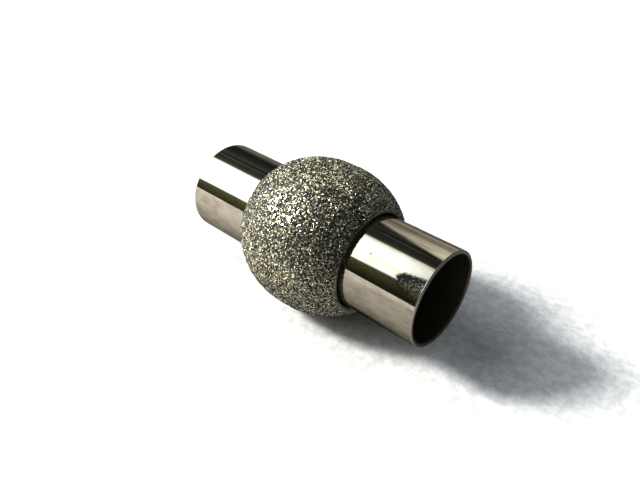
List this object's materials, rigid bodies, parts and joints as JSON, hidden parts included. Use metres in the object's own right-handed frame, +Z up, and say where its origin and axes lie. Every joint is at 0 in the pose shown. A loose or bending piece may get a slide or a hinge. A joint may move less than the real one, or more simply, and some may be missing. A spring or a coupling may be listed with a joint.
{
  "type": "magnetic bead clasp for round cord",
  "caption": "Magnetic jewellery clasp: a sparkling blasted hollow bead with a polished cord tube fixed in one end and a matching tube that pulls out of the other.",
  "frame": {"origin": "on the surface that the clasp lies on, under the middle of the bead's belt", "axes": "+X along the clasp's axis out of the free tube's mouth, +Y level across it, +Z up"},
  "size_m": [0.0202, 0.011, 0.011],
  "materials": {
    "blasted_steel": "coarsely blasted steel that sparkles in small grains",
    "polished_steel": "polished stainless steel with fine marks along the tube",
    "nickel_plate": "plain nickel-plated magnet"
  },
  "bodies": {
    "bead_half": {"bead": "blasted_steel", "fixed_tube": "polished_steel", "fixed_magnet": "nickel_plate"},
    "free_half": {"free_tube": "polished_steel", "free_magnet": "nickel_plate"}
  },
  "joints": [
    {"name": "pull_apart", "type": "slide", "parent": "bead_half", "child": "free_half", "axis": [1, 0, 0], "range_m": [0, 0.012], "stiffness_N_per_m": 0.5, "springref_m": -0.024}
  ]
}
